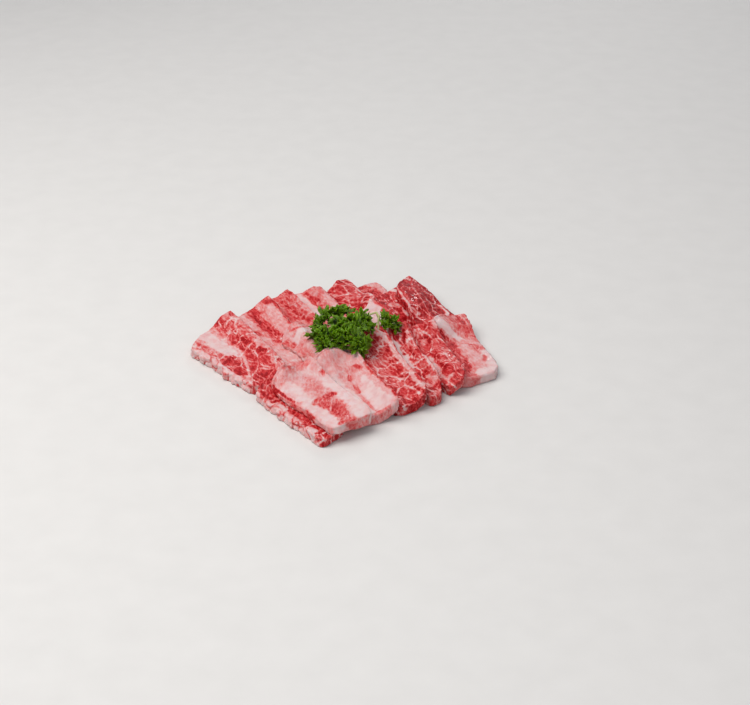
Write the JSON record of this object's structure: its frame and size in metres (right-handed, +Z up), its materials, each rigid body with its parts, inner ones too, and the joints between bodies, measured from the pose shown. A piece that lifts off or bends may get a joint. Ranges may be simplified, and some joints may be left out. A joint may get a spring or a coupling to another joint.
{
  "type": "sliced beef short rib",
  "caption": "Raw boneless beef short rib cut into marbled slices, fanned out in two shingled rows that keep the slab's shape, with a sprig of curly parsley on top.",
  "frame": {"origin": "The middle of the part's box in plan, on the surface that the lowest slices lie on.", "axes": "+Z is up. Seen from the front, looking along +Y, the rows run from the back left to the front right, and the front row is nearer. +X is to the right."},
  "size_m": [0.2028, 0.219, 0.0344],
  "materials": {
    "lean_beef": "raw red muscle webbed with thin white marbling, moist and softly shiny",
    "marbled_beef": "raw pink meat, finely and evenly marbled, with broad bands of white fat, moist",
    "fatty_beef": "pinkish white fat with islands of red meat in it, waxy and moist",
    "parsley": "fresh curly parsley leaf, bright green with darker folds, slightly waxy"
  },
  "bodies": {
    "root": {"slice_back_1": "lean_beef", "slice_back_2": "marbled_beef", "slice_back_3": "marbled_beef", "slice_back_4": "marbled_beef", "slice_back_5": "lean_beef", "slice_back_6": "marbled_beef", "slice_back_7": "lean_beef", "slice_back_8": "lean_beef", "slice_middle_1": "fatty_beef", "slice_middle_2": "fatty_beef", "slice_front_1": "lean_beef", "slice_front_2": "fatty_beef", "slice_front_3": "fatty_beef", "slice_front_4": "lean_beef", "slice_front_5": "lean_beef", "slice_front_6": "lean_beef", "slice_front_7": "fatty_beef", "parsley": "parsley"}
  },
  "joints": []
}
